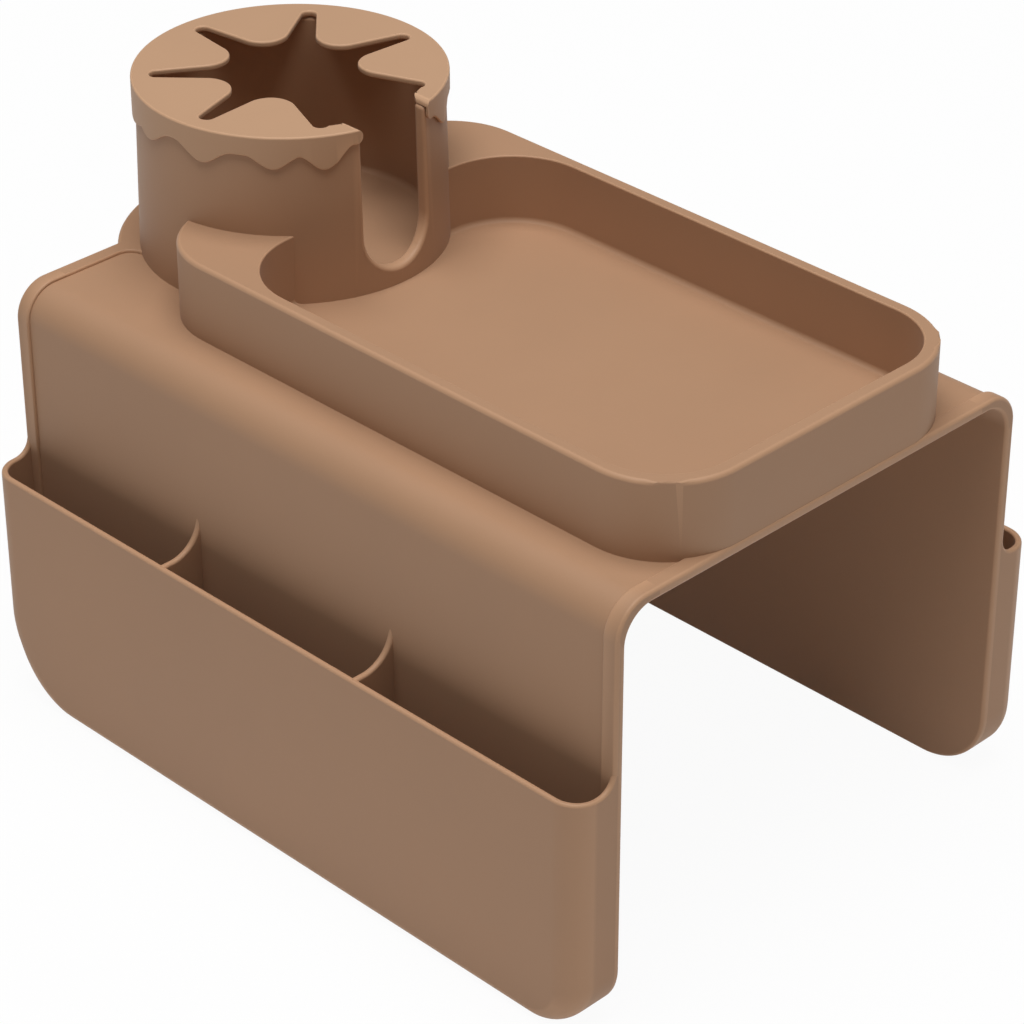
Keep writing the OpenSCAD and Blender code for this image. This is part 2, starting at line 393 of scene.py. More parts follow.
def tightness(vertex: bmesh.types.BMVert) -> float:
    """How tightly the surface is rounded outwards at a vertex.

    Args:
        vertex: The vertex. Its edges above CREASE radians are left out.

    Returns:
        0 up to a curvature of ROUND_FROM per metre, and 1 from ROUND_FULL on.
    """
    tightest = 0.0
    for edge in vertex.link_edges:
        paired = len(edge.link_faces) == 2 and edge.is_convex and edge.calc_length() > 0
        if paired and edge.calc_face_angle(0) < CREASE:
            widths = [f.calc_area() / edge.calc_length() for f in edge.link_faces]
            tightest = max(tightest, edge.calc_face_angle(0) / max(sum(widths) / 2, 0.02 * MM))
    return min(1.0, max(0.0, (tightest - ROUND_FROM) / (ROUND_FULL - ROUND_FROM)))


def all_at(edge: bmesh.types.BMEdge, axis: int, value: float, slack: float = NEAR) -> bool:
    """Whether both ends of an edge lie at one value of X, Y or Z."""
    return all(abs(v.co[axis] - value) < slack for v in edge.verts)


def runs(edge: bmesh.types.BMEdge, axis: int) -> bool:
    """Whether an edge runs along X, Y or Z."""
    d = edge.verts[1].co - edge.verts[0].co
    return abs(d[axis]) > 0.999 * d.length > 0


# -------- finishes


class Wire:
    """A shader socket that can be reckoned with."""

    def __init__(self, tree: bpy.types.NodeTree, socket: bpy.types.NodeSocket) -> None:
        """Wraps an output socket of a tree."""
        self.tree, self.socket = tree, socket

    def _sum(self, operation: str, *values: "Wire | float") -> "Wire":
        """Adds a Math node on these values."""
        return Shader.node_in(self.tree, "ShaderNodeMath", {"operation": operation}, dict(enumerate(values)))

    def __add__(self, other: "Wire | float") -> "Wire":
        """This plus the other."""
        return self._sum("ADD", self, other)

    __radd__ = __add__

    def __mul__(self, other: "Wire | float") -> "Wire":
        """This times the other."""
        return self._sum("MULTIPLY", self, other)

    __rmul__ = __mul__

    def __sub__(self, other: "Wire | float") -> "Wire":
        """This less the other."""
        return self._sum("SUBTRACT", self, other)


class Shader:
    """A material's node tree, written as a list of nodes."""

    def __init__(self, name: str) -> None:
        """Starts an empty material.

        Args:
            name: The material's name.
        """
        self.material = bpy.data.materials.new(name)
        self.material.use_nodes = True
        self.tree = self.material.node_tree
        self.tree.nodes.clear()

    @staticmethod
    def node_in(
        tree: bpy.types.NodeTree, kind: str, settings: dict[str, object], sockets: dict, out: "int | str" = 0
    ) -> Wire:
        """Adds a node.

        Args:
            tree: The tree that it goes into.
            kind: The node's type.
            settings: Its properties, which are set first.
            sockets: The values or wires of its inputs, by name or number.
            out: The output that is handed back.

        Returns:
            The output as a wire.
        """
        made = tree.nodes.new(kind)
        for key, value in settings.items():
            setattr(made, key, value)
        for key, value in sockets.items():
            if isinstance(value, Wire):
                tree.links.new(value.socket, made.inputs[key])
            else:
                made.inputs[key].default_value = value
        return Wire(tree, made.outputs[out] if made.outputs else None)

    def node(self, kind: str, settings: dict[str, object], sockets: dict, out: "int | str" = 0) -> Wire:
        """Adds a node to this material and hands back one of its outputs."""
        return self.node_in(self.tree, kind, settings, sockets, out)

    def mix(self, share: "Wire | float", low: object, high: object) -> Wire:
        """Mixes two colours by a share."""
        return self.node("ShaderNodeMix", {"data_type": "RGBA"}, {0: share, 6: low, 7: high}, 2)

    def output(self, surface: Wire) -> bpy.types.Material:
        """Ends the tree in a surface and hands back the material."""
        self.node("ShaderNodeOutputMaterial", {}, {"Surface": surface})
        return self.material


@dataclass(frozen=True)
class Silicone:
    """Matte moulded silicone: a faint cloudiness, a fine spark-eroded grain, a soft sheen and a painted highlight on
    its tightly rounded edges.
    """

    name: str
    tone: tuple[float, float, float]
    roughness: float = 0.6
    cloud: float = 0.035
    grain: float = 0.18
    # how much the painted highlight lightens the tone on tightly rounded edges
    edge_highlight_gain: float = 0.2
    warm: tuple[float, float, float] = (1.02, 0.97, 0.94)
    dust: tuple[float, float, float] = (1.25, 1.3, 1.4)
    relief: float = 0.08 * MM
    cloud_scale: float = 14.0
    flow_scale: float = 90.0
    pore_scale: float = 1900.0
    speck_scale: float = 1300.0

    def tint(self, *gains: float) -> tuple[float, float, float, float]:
        """The tone times one gain, or a gain for each of red, green and blue."""
        gains = gains * 3 if len(gains) == 1 else gains
        return (*(min(1.0, c * g) for c, g in zip(self.tone, gains)), 1.0)

    def material(self) -> bpy.types.Material:
        """Builds the finish: clouds, flow marks and pores in the colour, a painted highlight on tightly rounded edges,
        grain in the relief.

        Returns:
            The material.
        """
        s = Shader(self.name)
        place = s.node("ShaderNodeTexCoord", {}, {}, "Object")

        def noise(scale: float, detail: float, roughness: float) -> Wire:
            """A noise over the piece's own coordinates."""
            sockets = {"Vector": place, "Scale": scale, "Detail": detail, "Roughness": roughness}
            return s.node("ShaderNodeTexNoise", {}, sockets)
        clouds = noise(self.cloud_scale, 3.0, 0.55)
        flow = noise(self.flow_scale, 4.0, 0.6)
        pores = noise(self.pore_scale, 2.0, 0.5)
        specks = s.node("ShaderNodeTexVoronoi", {"feature": "F1"}, {"Vector": place, "Scale": self.speck_scale})
        body = s.mix(clouds, self.tint(1 - 2 * self.cloud), self.tint(1 + 2 * self.cloud))
        tinted = s.mix(flow * 0.3, body, self.tint(*self.warm))
        dusty = s.mix(pores * 0.08, tinted, self.tint(*self.dust))
        rounding = s.node("ShaderNodeAttribute", {"attribute_name": "rounding"}, {}, "Fac")
        # painted highlight: the colour is lightened where the surface is tightly rounded, a little unevenly with the
        # flow marks
        edge_highlighted = s.mix(rounding * (0.75 + 0.25 * flow), dusty, self.tint(1 + self.edge_highlight_gain))
        height = pores * 0.7 + specks * 0.3
        relief = s.node("ShaderNodeBump", {}, {"Strength": self.grain, "Distance": self.relief, "Height": height})
        gloss = clouds * 0.06 + pores * 0.08 - rounding * 0.06 + (self.roughness - 0.07)
        skin = s.node("ShaderNodeBsdfPrincipled", {}, {
            "Base Color": edge_highlighted, "Roughness": gloss, "IOR": 1.41, "Normal": relief,
            "Sheen Weight": 0.06, "Sheen Roughness": 0.5})
        return s.output(skin)


# -------- the part


@dataclass(frozen=True)
class Datum:
    """The edges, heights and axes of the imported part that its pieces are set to."""

    rear_x: float
    front_x: float
    half_w: float
    bend_y: float
    bend_z: float
    deck_low: float
    deck_top: float
    rim_z: float
    pocket_z: float
    pocket_y: float
    cup_x: float
    foot_r: float
    collar_low: float
    collar_top: float
    skirt_r: float

    @classmethod
    def measured(cls) -> "Datum":
        """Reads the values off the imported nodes.

        Returns:
            The datum that every piece is set to.
        """
        flap_low, flap_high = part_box("near_flap")
        deck_low, deck_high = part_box("deck")
        barrel_low, barrel_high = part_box("cup_barrel")
        star_low, star_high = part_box("star_collar")
        pocket_low, pocket_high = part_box("near_pocket")
        return cls(
            rear_x=flap_low.x, front_x=flap_high.x, half_w=-flap_low.y,
            bend_y=deck_high.y, bend_z=flap_high.z,
            deck_low=deck_low.z, deck_top=deck_high.z, rim_z=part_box("tray")[1].z,
            pocket_z=pocket_high.z, pocket_y=-pocket_low.y,
            cup_x=(barrel_low.x + barrel_high.x) / 2, foot_r=(barrel_high.y - barrel_low.y) / 2,
            collar_low=barrel_high.z, collar_top=star_high.z, skirt_r=(star_high.y - star_low.y) / 2)


# the radii of the lower corners of a side and its pocket, at the rear and at the front
NEAR_CORNER_R = (35 * MM, 20 * MM)
FAR_CORNER_R = (35 * MM, 26.5 * MM)
# an edge further in front of the cup's axis than this is in the half with the handle's slot
SLOT_SIDE = 30 * MM


@dataclass
class Assembly:
    """A group of pieces that are modelled and finished together."""

    at: Datum
    finish: bpy.types.Material

    def keep(self, solid: Solid, *nodes: str) -> bpy.types.Object:
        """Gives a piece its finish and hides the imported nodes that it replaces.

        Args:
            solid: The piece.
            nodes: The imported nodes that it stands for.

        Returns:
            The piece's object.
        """
        solid.obj.data.materials.clear()
        solid.obj.data.materials.append(self.finish)
        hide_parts(*nodes)
        return solid.obj


@dataclass
class Saddle(Assembly):
    """The moulded sheet over the sofa's arm: the deck, and a bent skin down each side."""

    seam: float = 3 * MM
    sheet_t: float = 4 * MM
    edge_r: float = 1.4 * MM
    bend_r: float = 13.5 * MM
    bend_in_r: float = 12 * MM
    lobe_w: float = 8.2 * MM
    border_w: float = 6.5 * MM
    panel_y: float = 49.5 * MM
    panel_r: float = 6 * MM
    panel_d: float = 1.2 * MM
    panel_low: float = 3 * MM
    step_r: float = 0.8 * MM
    bend_steps: int = 24

    @property
    def seam_y(self) -> float:
        """Where a side's skin starts, just inside the bend."""
        return self.at.bend_y - self.seam

    @property
    def panel_x(self) -> tuple[float, float]:
        """The panel's rear and front ends."""
        return self.at.rear_x + self.border_w, self.at.front_x - self.border_w

    def deck(self) -> Solid:
        """The flat deck with its round lobe behind the cup holder and a sunk panel at each side.

        Returns:
            The deck.
        """
        at = self.at
        deck = Solid.block("deck_skin", (at.rear_x, -self.seam_y, at.deck_low), (at.front_x, self.seam_y, at.deck_top))
        lobe_r = at.foot_r + self.lobe_w
        deck.combine(Solid.drum("lobe", (at.cup_x, 0), (at.deck_low, at.deck_top), (lobe_r, lobe_r)), Way.FUSE)
        deck.clean()
        deck.round_edges(self.edge_r, 4, lambda e: sharp(e) and not runs(e, 2) and not self.on_seam(e))
        rear, front = self.panel_x
        for side in (-1, 1):
            ys = sorted((side * self.panel_y, side * (self.seam_y + 2 * MM)))
            low, high = at.deck_top - self.panel_d, at.deck_top + OVER
            tool = Solid.block("panel_tool", (rear, ys[0], low), (front, ys[1], high))
            tool.round_edges(self.panel_r, 8, lambda e: runs(e, 2) and all_at(e, 1, side * self.panel_y))
            deck.combine(tool, Way.CUT)
            deck.round_edges(self.step_r, 3, lambda e: self.on_step(e) and e.verts[0].co.y * side > 0)
        return deck

    def on_seam(self, edge: bmesh.types.BMEdge) -> bool:
        """Whether an edge lies where the deck meets a side's skin."""
        return all_at(edge, 1, self.seam_y) or all_at(edge, 1, -self.seam_y)

    def on_step(self, edge: bmesh.types.BMEdge) -> bool:
        """Finds the standing edge round a sunk panel.

        Args:
            edge: The edge.

        Returns:
            Whether it is one, away from the seams.
        """
        rear, front = self.panel_x
        ends = [v.co for v in edge.verts]
        within = all(rear - NEAR < c.x < front + NEAR and c.z > self.panel_low - NEAR for c in ends)
        top = all(abs(c.z - self.at.deck_top) < NEAR and self.panel_y - NEAR < abs(c.y) for c in ends)
        side = all(self.at.half_w - abs(c.y) < self.bend_r + NEAR for c in ends)
        side = side and (all_at(edge, 0, rear) or all_at(edge, 0, front))
        return sharp(edge, 60) and within and not self.on_seam(edge) and (top or side)

    def corner(self, name: str, draw_in: float, low_z: float, x: tuple[float, float]) -> Solid:
        """The filled near corner of the saddle, drawn in from its outside.

        Args:
            name: The block's name.
            draw_in: How far its top and its side are drawn in.
            low_z: The height of its foot.
            x: Its rear and front ends.

        Returns:
            The block, with its upper near edge rounded.
        """
        at = self.at
        y, z = -(at.half_w - draw_in), at.deck_top - draw_in
        block = Solid.block(name, (x[0], y, low_z), (x[1], -self.seam_y, z))
        radius = self.bend_in_r if draw_in > self.panel_d + NEAR else self.bend_r - draw_in
        return block.round_edges(
            radius, self.bend_steps, lambda e: runs(e, 0) and all_at(e, 1, y) and all_at(e, 2, z))

    def near_side(self, name: str, corner_r: tuple[float, float]) -> Solid:
        """The near side's skin: the bend, and the flap down to its rounded lower corners.

        Args:
            name: The skin's name.
            corner_r: The radii of its rear and front lower corners.

        Returns:
            The skin.
        """
        at = self.at
        seam = -self.seam_y
        skin = self.corner(name, 0, 0, (at.rear_x, at.front_x))
        hollow = self.corner("hollow_tool", self.sheet_t, -OVER, (at.rear_x - OVER, at.front_x + OVER))
        skin.combine(hollow, Way.CUT)
        skin.face_outwards()
        skin.round_feet((at.rear_x, at.front_x), corner_r, 0, 0, 18)
        skin.round_edges(self.edge_r, 4, lambda e: sharp(e, 50) and not all_at(e, 1, seam))
        rear, front = self.panel_x
        tool = Solid.block(
            "panel_tool", (rear, -at.half_w - OVER, self.panel_low), (front, seam + OVER, at.deck_top + OVER))
        tool.round_feet((rear, front), corner_r, self.border_w, self.panel_low, 14)
        core = self.corner("core_tool", self.panel_d, -OVER, (rear - OVER, front + OVER))
        core.grow(lambda f: f.normal.y > 0.9, (0, 2 * OVER, 0))
        tool.combine(core, Way.CUT)
        skin.combine(tool, Way.CUT)
        return skin.round_edges(self.step_r, 3, self.on_step)

    def build(self) -> None:
        """Models the three pieces and ties the deck to the saddle's body."""
        at = self.at
        near = self.near_side("near_skin", NEAR_CORNER_R)
        far = self.near_side("far_model", FAR_CORNER_R).place("far_skin", mirror_y=True)
        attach(self.keep(self.deck().finish(), "deck"), "saddle")
        for solid, side, sign in ((near, "near", -1), (far, "far", 1)):
            obj = self.keep(solid.finish(), f"{side}_shoulder", f"{side}_flap")
            sign * (at.half_w - 2 * MM)
            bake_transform(obj)


@dataclass
class TrayWalls(Assembly):
    """The walled tray in front of the cup holder."""

    half_w: float = 76 * MM
    lead: float = 3.5 * MM
    setback: float = 0.6 * MM
    outer_r: float = 31.5 * MM
    well_lead: float = 42.2 * MM
    well_half_w: float = 70.8 * MM
    front_t: float = 5.6 * MM
    floor_t: float = 1.5 * MM
    well_front_r: float = 26.5 * MM
    well_rear_r: float = 31 * MM
    well_foot_r: float = 2 * MM
    rim_r: float = 1.7 * MM
    rim_in_r: float = 0.7 * MM
    sunk: float = 1.5 * MM
    barrel_t: float = 4 * MM
    well_over: float = 5 * MM
    bore_over: float = 10 * MM

    def build(self) -> None:
        """Models the tray and ties it to the saddle."""
        at = self.at
        front = at.front_x - self.setback
        tray = Solid.block(
            "tray_walls", (at.cup_x + self.lead, -self.half_w, at.deck_top - self.sunk), (front, self.half_w, at.rim_z))
        tray.round_edges(self.outer_r, 20, lambda e: runs(e, 2))
        well_x = (at.cup_x + self.well_lead, front - self.front_t)
        floor = at.deck_top + self.floor_t
        well = Solid.block("well_tool", (well_x[0], -self.well_half_w, floor),
                           (well_x[1], self.well_half_w, at.rim_z + self.well_over))
        for x, r in zip(well_x, (self.well_rear_r, self.well_front_r)):
            well.round_edges(r, 20, lambda e, x=x: runs(e, 2) and all_at(e, 0, x))
        well.round_edges(self.well_foot_r, 4, lambda e: all_at(e, 2, floor))
        tray.combine(well, Way.CUT)

        def inner(edge: bmesh.types.BMEdge) -> bool:
            """Whether an edge of the rim is one of the well's."""
            ends = [v.co for v in edge.verts]
            return all(abs(c.y) < self.well_half_w + NEAR and well_x[0] - NEAR < c.x < well_x[1] + NEAR for c in ends)
        tray.round_edges(self.rim_r, 5, lambda e: sharp(e, 60) and all_at(e, 2, at.rim_z) and not inner(e))
        tray.round_edges(self.rim_in_r, 4, lambda e: sharp(e, 60) and all_at(e, 2, at.rim_z) and inner(e))
        bore_r = at.foot_r - self.barrel_t / 2
        heights = (at.deck_top - self.bore_over, at.rim_z + self.bore_over)
        bore = Solid.drum("bore_tool", (at.cup_x, 0), heights, (bore_r, bore_r))
        tray.combine(bore, Way.CUT)
        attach(self.keep(tray.clean().finish(), "tray"), "saddle")


@dataclass
class CupHolder(Assembly):
    """The slightly tapered barrel with its slot for a mug's handle."""

    draft: float = 1.5 * MM
    wall_t: float = 5.2 * MM
    floor_t: float = 3 * MM
    foot_in_r: float = 2.5 * MM
    sunk: float = 1.5 * MM
    sides: int = 72
    slot_w: float = 30 * MM
    slot_sill: float = 8.4 * MM
    lip_r: float = 1.8 * MM

    def build(self) -> None:
        """Models the barrel and ties it to the saddle."""
        at = self.at
        slope = self.draft / (at.collar_low - at.deck_top)
        low = at.deck_top - self.sunk
        floor = at.deck_top + self.floor_t
        top_r = at.foot_r - self.draft
        radii = (at.foot_r + slope * self.sunk, top_r)
        barrel = Solid.drum("cup_wall", (at.cup_x, 0), (low, at.collar_low), radii, self.sides)
        floor_r = at.foot_r - slope * self.floor_t - self.wall_t
        widen = floor_r / (top_r - self.wall_t)
        with barrel.editing(Part.FACES):
            barrel.pick(Part.FACES, lambda f: f.normal.z > 0.9)
            bpy.ops.mesh.inset(thickness=self.wall_t)
            bpy.ops.mesh.extrude_region_move(TRANSFORM_OT_translate={"value": (0, 0, floor - at.collar_low)})
            bpy.ops.transform.resize(value=(widen, widen, 1), center_override=(at.cup_x, 0, floor))
        barrel.round_edges(self.foot_in_r, 4, lambda e: all_at(e, 2, floor))
        half = self.slot_w / 2
        foot = at.deck_top + self.slot_sill
        slot = Solid.block(
            "slot_tool", (at.cup_x + 10 * MM, -half, foot), (at.cup_x + at.foot_r + 9 * MM, half, at.collar_top))
        slot.round_edges(half - NEAR, 24, lambda e: runs(e, 0) and all_at(e, 2, foot))
        barrel.combine(slot, Way.CUT)

        def by_slot(edge: bmesh.types.BMEdge) -> bool:
            """Whether an edge is one of the slot's."""
            ends = [v.co for v in edge.verts]
            return all(abs(c.y) < half + NEAR and c.x > at.cup_x + SLOT_SIDE for c in ends) and ends[0].z > foot - NEAR
        barrel.round_edges(self.lip_r, 4, lambda e: sharp(e, 50) and (all_at(e, 2, at.collar_low) or by_slot(e)))
        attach(self.keep(barrel.finish(), "cup_barrel"), "saddle")


@dataclass
class StarCollar(Assembly):
    """The collar on the cup holder: a ring with six bendy fingers and a hem that drips."""

    skirt_t: float = 1 * MM
    skirt_h: float = 7.6 * MM
    edge_r: float = 0.8 * MM
    slot_over: float = 4 * MM
    drip_l: float = 7 * MM
    fingers: int = 6
    pitch: float = math.radians(50.3)
    slit_w: float = 5.6 * MM
    flare: float = math.radians(7)
    slit_reach: float = 50.5 * MM
    tip_reach: float = 24.5 * MM
    tip_r: float = 9 * MM
    ring_lip: float = 0.9 * MM
    ring_end_r: float = 3 * MM
    slot_half_w: float = 15.6 * MM
    slot_foot: float = 8 * MM
    round_r: float = 0.8 * MM
    strip: float = 0.6 * MM
    bend_l: float = 4 * MM
    end_rise: float = 2 * MM
    end_round: float = 2.8 * MM
    end_top_r: float = 2.3 * MM
    end_from: float = 19.5
    end_over: float = 6.0
    hem_r: float = 0.5 * MM
    # each drip's angle from the slot in degrees, its share of the longest, and its reach before and after
    drips: tuple[tuple[float, float, float, float], ...] = (
        (-174, 0.9, 15, 15), (-124, 1, 30, 30), (-104, 0.86, 15, 15), (-75.4, 0.79, 12.5, 12.5),
        (-48.3, 0.69, 10.5, 10.5), (-30, 0.82, 9.5, 10.5), (31, 1, 12, 6), (55, 0.7, 14, 14),
        (80, 0.85, 12, 12), (105, 0.7, 13, 13), (131, 0.95, 14, 14), (158, 0.7, 13, 13))

    @property
    def first_slit(self) -> float:
        """The angle of the first slit."""
        return math.pi - self.pitch * self.fingers / 2

    @property
    def slit_axis_r(self) -> float:
        """The radius at which the slits' round ends are centred."""
        return self.slit_reach - self.slit_w / 2

    @property
    def root_r(self) -> float:
        """The distance of a finger's root from the cup's axis."""
        return self.slit_axis_r * math.cos(self.pitch / 2)

    def drip(self, angle: float) -> float:
        """How far the hem hangs down at an angle in degrees, as a share of its longest drip.

        Args:
            angle: The angle about the cup's axis, from the slot's middle.

        Returns:
            The share: 0 at the slot's near edge, where the hem rises, and 1 at the longest drip.
        """
        def share(middle: float, length: float, before: float, after: float) -> float:
            """One drip's share here, a cosine hump."""
            turn = (angle - middle + 180) % 360 - 180
            t = abs(turn) / (before if turn < 0 else after)
            return length * (1 + math.cos(math.pi * t)) / 2 if t < 1 else 0.0
        hang = self.drip_l * max(share(*drip) for drip in self.drips)
        t = min(1.0, max(0.0, (-angle - self.end_from) / self.end_over)) if angle < 0 else 1.0
        return (hang + self.end_rise * t * t * (3 - 2 * t)) / (self.drip_l + self.end_rise)

    def cap(self) -> Solid:
        """The collar's top with its skirt, before the star is cut.

        Returns:
            The cap.
        """
        at = self.at
        hem = at.collar_top - self.skirt_h + self.end_rise
        cap = Solid.drum("star_ring", (at.cup_x, 0), (hem, at.collar_top), (at.skirt_r, at.skirt_r), 360)
        cap.round_edges(self.edge_r, 6, lambda e: all_at(e, 2, at.collar_top))
        with cap.editing(Part.FACES):
            cap.pick(Part.FACES, lambda f: f.normal.z < -0.9)
            bpy.ops.mesh.inset(thickness=self.skirt_t)
            bpy.ops.mesh.extrude_region_move(TRANSFORM_OT_translate={"value": (0, 0, at.collar_low - hem)})
        group = cap.obj.vertex_groups.new(name="drip")
        for v in cap.obj.data.vertices:
            if abs(v.co.z - hem) < NEAR:
                angle = math.degrees(math.atan2(v.co.y, v.co.x - at.cup_x))
                group.add([v.index], self.drip(angle), "REPLACE")
        cap.hold()
        bpy.ops.object.modifier_add(type="DISPLACE")
        pull = cap.obj.modifiers[-1]
        pull.direction, pull.vertex_group, pull.mid_level = "Z", "drip", 0.0
        pull.strength = -(self.drip_l + self.end_rise)
        bpy.ops.object.modifier_apply(modifier=pull.name)
        cap.obj.vertex_groups.clear()
        cap.round_edges(self.hem_r, 3, lambda e: sharp(e, 50) and not runs(e, 2) and e.verts[0].co.z < hem + NEAR)
        return cap

    def slit(self, turn: float) -> Solid:
        """A tool for one slit: round at its outer end, wider towards the cup's axis.

        Args:
            turn: The slit's angle about that axis.

        Returns:
            The tool.
        """
        at = self.at
        half = self.slit_w / 2
        start = 0.7 * self.root_r
        low, high = self.through
        tool = Solid.block("slit", (at.cup_x + start, -half, low), (at.cup_x + self.slit_reach, half, high))
        tool.round_edges(half * 0.998, 16, lambda e: runs(e, 2) and all_at(e, 0, at.cup_x + self.slit_reach))
        spread = 1 + (self.slit_axis_r - start) * math.tan(self.flare) / half
        with tool.editing(Part.VERTS):
            tool.pick(Part.VERTS, lambda v: abs(v.co.x - at.cup_x - start) < NEAR)
            bpy.ops.transform.resize(value=(1, spread, 1), center_override=(at.cup_x + start, 0, at.collar_low))
        return tool.place("slit_tool", turn=turn, axis=(at.cup_x, 0))

    def end_tool(self, side: int) -> Solid:
        """A tool that rounds the collar's end beside the handle's slot, at its top and at its hem.

        Args:
            side: -1 for the near end, 1 for the far one.

        Returns:
            The tool.
        """
        at = self.at
        low, high = at.collar_top - self.skirt_h + (self.end_rise if side < 0 else 0), at.collar_top
        x = (at.cup_x + self.slit_axis_r * 0.6, at.cup_x + at.skirt_r + self.slot_over)
        face = side * self.slot_half_w

        def slab(name: str, near: float, far: float, z: tuple[float, float], extra: float) -> Solid:
            """A slab along the slot's side, from one distance off its face to another."""
            ys = sorted((face + side * near, face + side * far))
            return Solid.block(name, (x[0] - extra, ys[0], z[0]), (x[1] + extra, ys[1], z[1]))
        tool = slab("end_tool", -1 * MM, self.end_round, (low - 4 * MM, high + 1 * MM), 0)
        kept = slab("end_kept", 0, 3 * self.end_round, (low, high), 5 * MM)
        for z, r in ((low, self.end_round), (high, self.end_top_r)):
            kept.round_edges(r, 10, lambda e, z=z: runs(e, 0) and all_at(e, 1, face) and all_at(e, 2, z))
        return tool.combine(kept, Way.CUT)

    @property
    def through(self) -> tuple[float, float]:
        """The heights of a tool that cuts the collar's top right through."""
        return self.at.collar_low - OVER, self.at.collar_top + OVER

    def outward(self, turn: float) -> Vector:
        """The level direction at an angle about the cup's axis."""
        return Vector((math.cos(turn), math.sin(turn), 0))

    def finger_turn(self, k: int) -> float:
        """The angle of a finger's middle line."""
        return self.first_slit + self.pitch * (k + 0.5)

    def half_width(self, reach: float) -> float:
        """Half a finger's width at a distance from the cup's axis."""
        lean = self.pitch / 2 + self.flare
        at_root = self.root_r * math.tan(self.pitch / 2) - self.slit_w / 2 / math.cos(lean)
        return at_root + (reach - self.root_r) * math.tan(lean)

    def on_root(self, edge: bmesh.types.BMEdge) -> bool:
        """Whether an edge lies on a finger's root chord."""
        ends = [v.co - Vector((self.at.cup_x, 0, v.co.z)) for v in edge.verts]
        outs = [self.outward(self.finger_turn(k)) for k in range(self.fingers)]
        return any(all(abs(c.dot(out) - self.root_r) < NEAR for c in ends) for out in outs)

    def ring(self) -> Solid:
        """The collar without its fingers: cuts the star's outer part and the handle's slot.

        Returns:
            The ring.
        """
        at = self.at
        axis = (at.cup_x, 0)
        ring = self.cap()
        core = Solid.drum("core_tool", axis, self.through, (at.skirt_r, at.skirt_r), 12)
        for k in range(self.fingers):
            out = self.outward(self.finger_turn(k))
            core.bisect(Vector((at.cup_x, 0, 0)) + out * self.root_r, out)
        core.bisect((at.cup_x + self.slit_axis_r * math.cos(self.first_slit), 0, 0), (1, 0, 0))
        ring.combine(core, Way.CUT)
        for k in range(self.fingers + 1):
            ring.combine(self.slit(self.first_slit + self.pitch * k), Way.CUT)
        mouth_r = self.slit_reach - self.ring_lip
        mouth = Solid.drum("mouth_tool", axis, self.through, (mouth_r, mouth_r), 45)
        for side in (-1, 1):
            edge = side * self.first_slit
            mouth.bisect((at.cup_x, 0, 0), (-side * math.sin(edge), side * math.cos(edge), 0))
        ring.combine(mouth, Way.CUT)
        slot = Solid.block("gap_tool", (at.cup_x + 8 * MM, -self.slot_half_w, at.deck_top + self.slot_foot),
                           (at.cup_x + at.skirt_r + self.slot_over, self.slot_half_w, at.collar_top + self.slot_over))
        ring.combine(slot, Way.CUT)
        ring.clean()

        def radius(edge: bmesh.types.BMEdge) -> float:
            """The distance of an edge's nearer end from the cup's axis."""
            return min(math.hypot(v.co.x - at.cup_x, v.co.y) for v in edge.verts)

        def by_gap(edge: bmesh.types.BMEdge) -> bool:
            """Whether an edge is at the handle's slot."""
            ends = [v.co for v in edge.verts]
            return all(abs(c.y) < self.slot_half_w + 1.5 * MM for c in ends) and ends[0].x > at.cup_x + SLOT_SIDE

        def at_corner(edge: bmesh.types.BMEdge) -> bool:
            """Whether an edge is the upright inner corner of one of the collar's ends."""
            return runs(edge, 2) and sharp(edge, 30) and by_gap(edge) and radius(edge) < mouth_r + 0.3 * MM
        ring.round_edges(self.ring_end_r, 8, at_corner)
        for side in (-1, 1):
            ring.combine(self.end_tool(side), Way.CUT)

        def on_star(edge: bmesh.types.BMEdge) -> bool:
            """Whether an edge is one of the star's, away from the fingers' roots and the handle's slot."""
            level = all_at(edge, 2, at.collar_top) or all_at(edge, 2, at.collar_low)
            inside = sharp(edge, 50) and radius(edge) < at.skirt_r - 2 * MM
            return level and inside and not self.on_root(edge) and not by_gap(edge)
        return ring.round_edges(self.round_r, 4, on_star)

    def finger(self, k: int) -> Solid:
        """A finger from its root chord to its round tip, cut into a few strips next to its root.

        Args:
            k: The finger's number, from 0.

        Returns:
            The finger.
        """
        at = self.at
        root, tip = self.half_width(self.root_r), self.half_width(self.tip_reach)
        x = at.cup_x + self.tip_reach
        finger = Solid.block("finger", (x, -root, at.collar_low), (at.cup_x + self.root_r, root, at.collar_top))
        with finger.editing(Part.VERTS):
            finger.pick(Part.VERTS, lambda v: abs(v.co.x - x) < NEAR)
            bpy.ops.transform.resize(value=(1, tip / root, 1), center_override=(x, 0, at.collar_low))
        lean = math.pi / 2 - self.pitch / 2 - self.flare
        finger.round_edges(self.tip_r * math.tan(lean / 2), 12, lambda e: runs(e, 2) and all_at(e, 0, x))
        finger.round_edges(self.round_r, 4, lambda e: sharp(e, 50) and not all_at(e, 0, at.cup_x + self.root_r))
        for step in range(1, 9):
            finger.bisect((at.cup_x + self.root_r - step * self.strip, 0, 0), (1, 0, 0), drop=False)
        return finger.place(f"star_finger_{k + 1}", turn=self.finger_turn(k), axis=(at.cup_x, 0))

    def build(self) -> None:
        """Models the collar and its fingers, and ties the collar to its body."""
        at = self.at
        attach(self.keep(self.ring().finish(), "star_collar"), "collar")
        for k in range(self.fingers):
            out = self.outward(self.finger_turn(k))
            root = Vector((at.cup_x, 0, at.collar_low)) + out * self.root_r
            obj = self.keep(self.finger(k).finish(), f"finger_{k + 1}")
            root - out * self.bend_l
            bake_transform(obj)


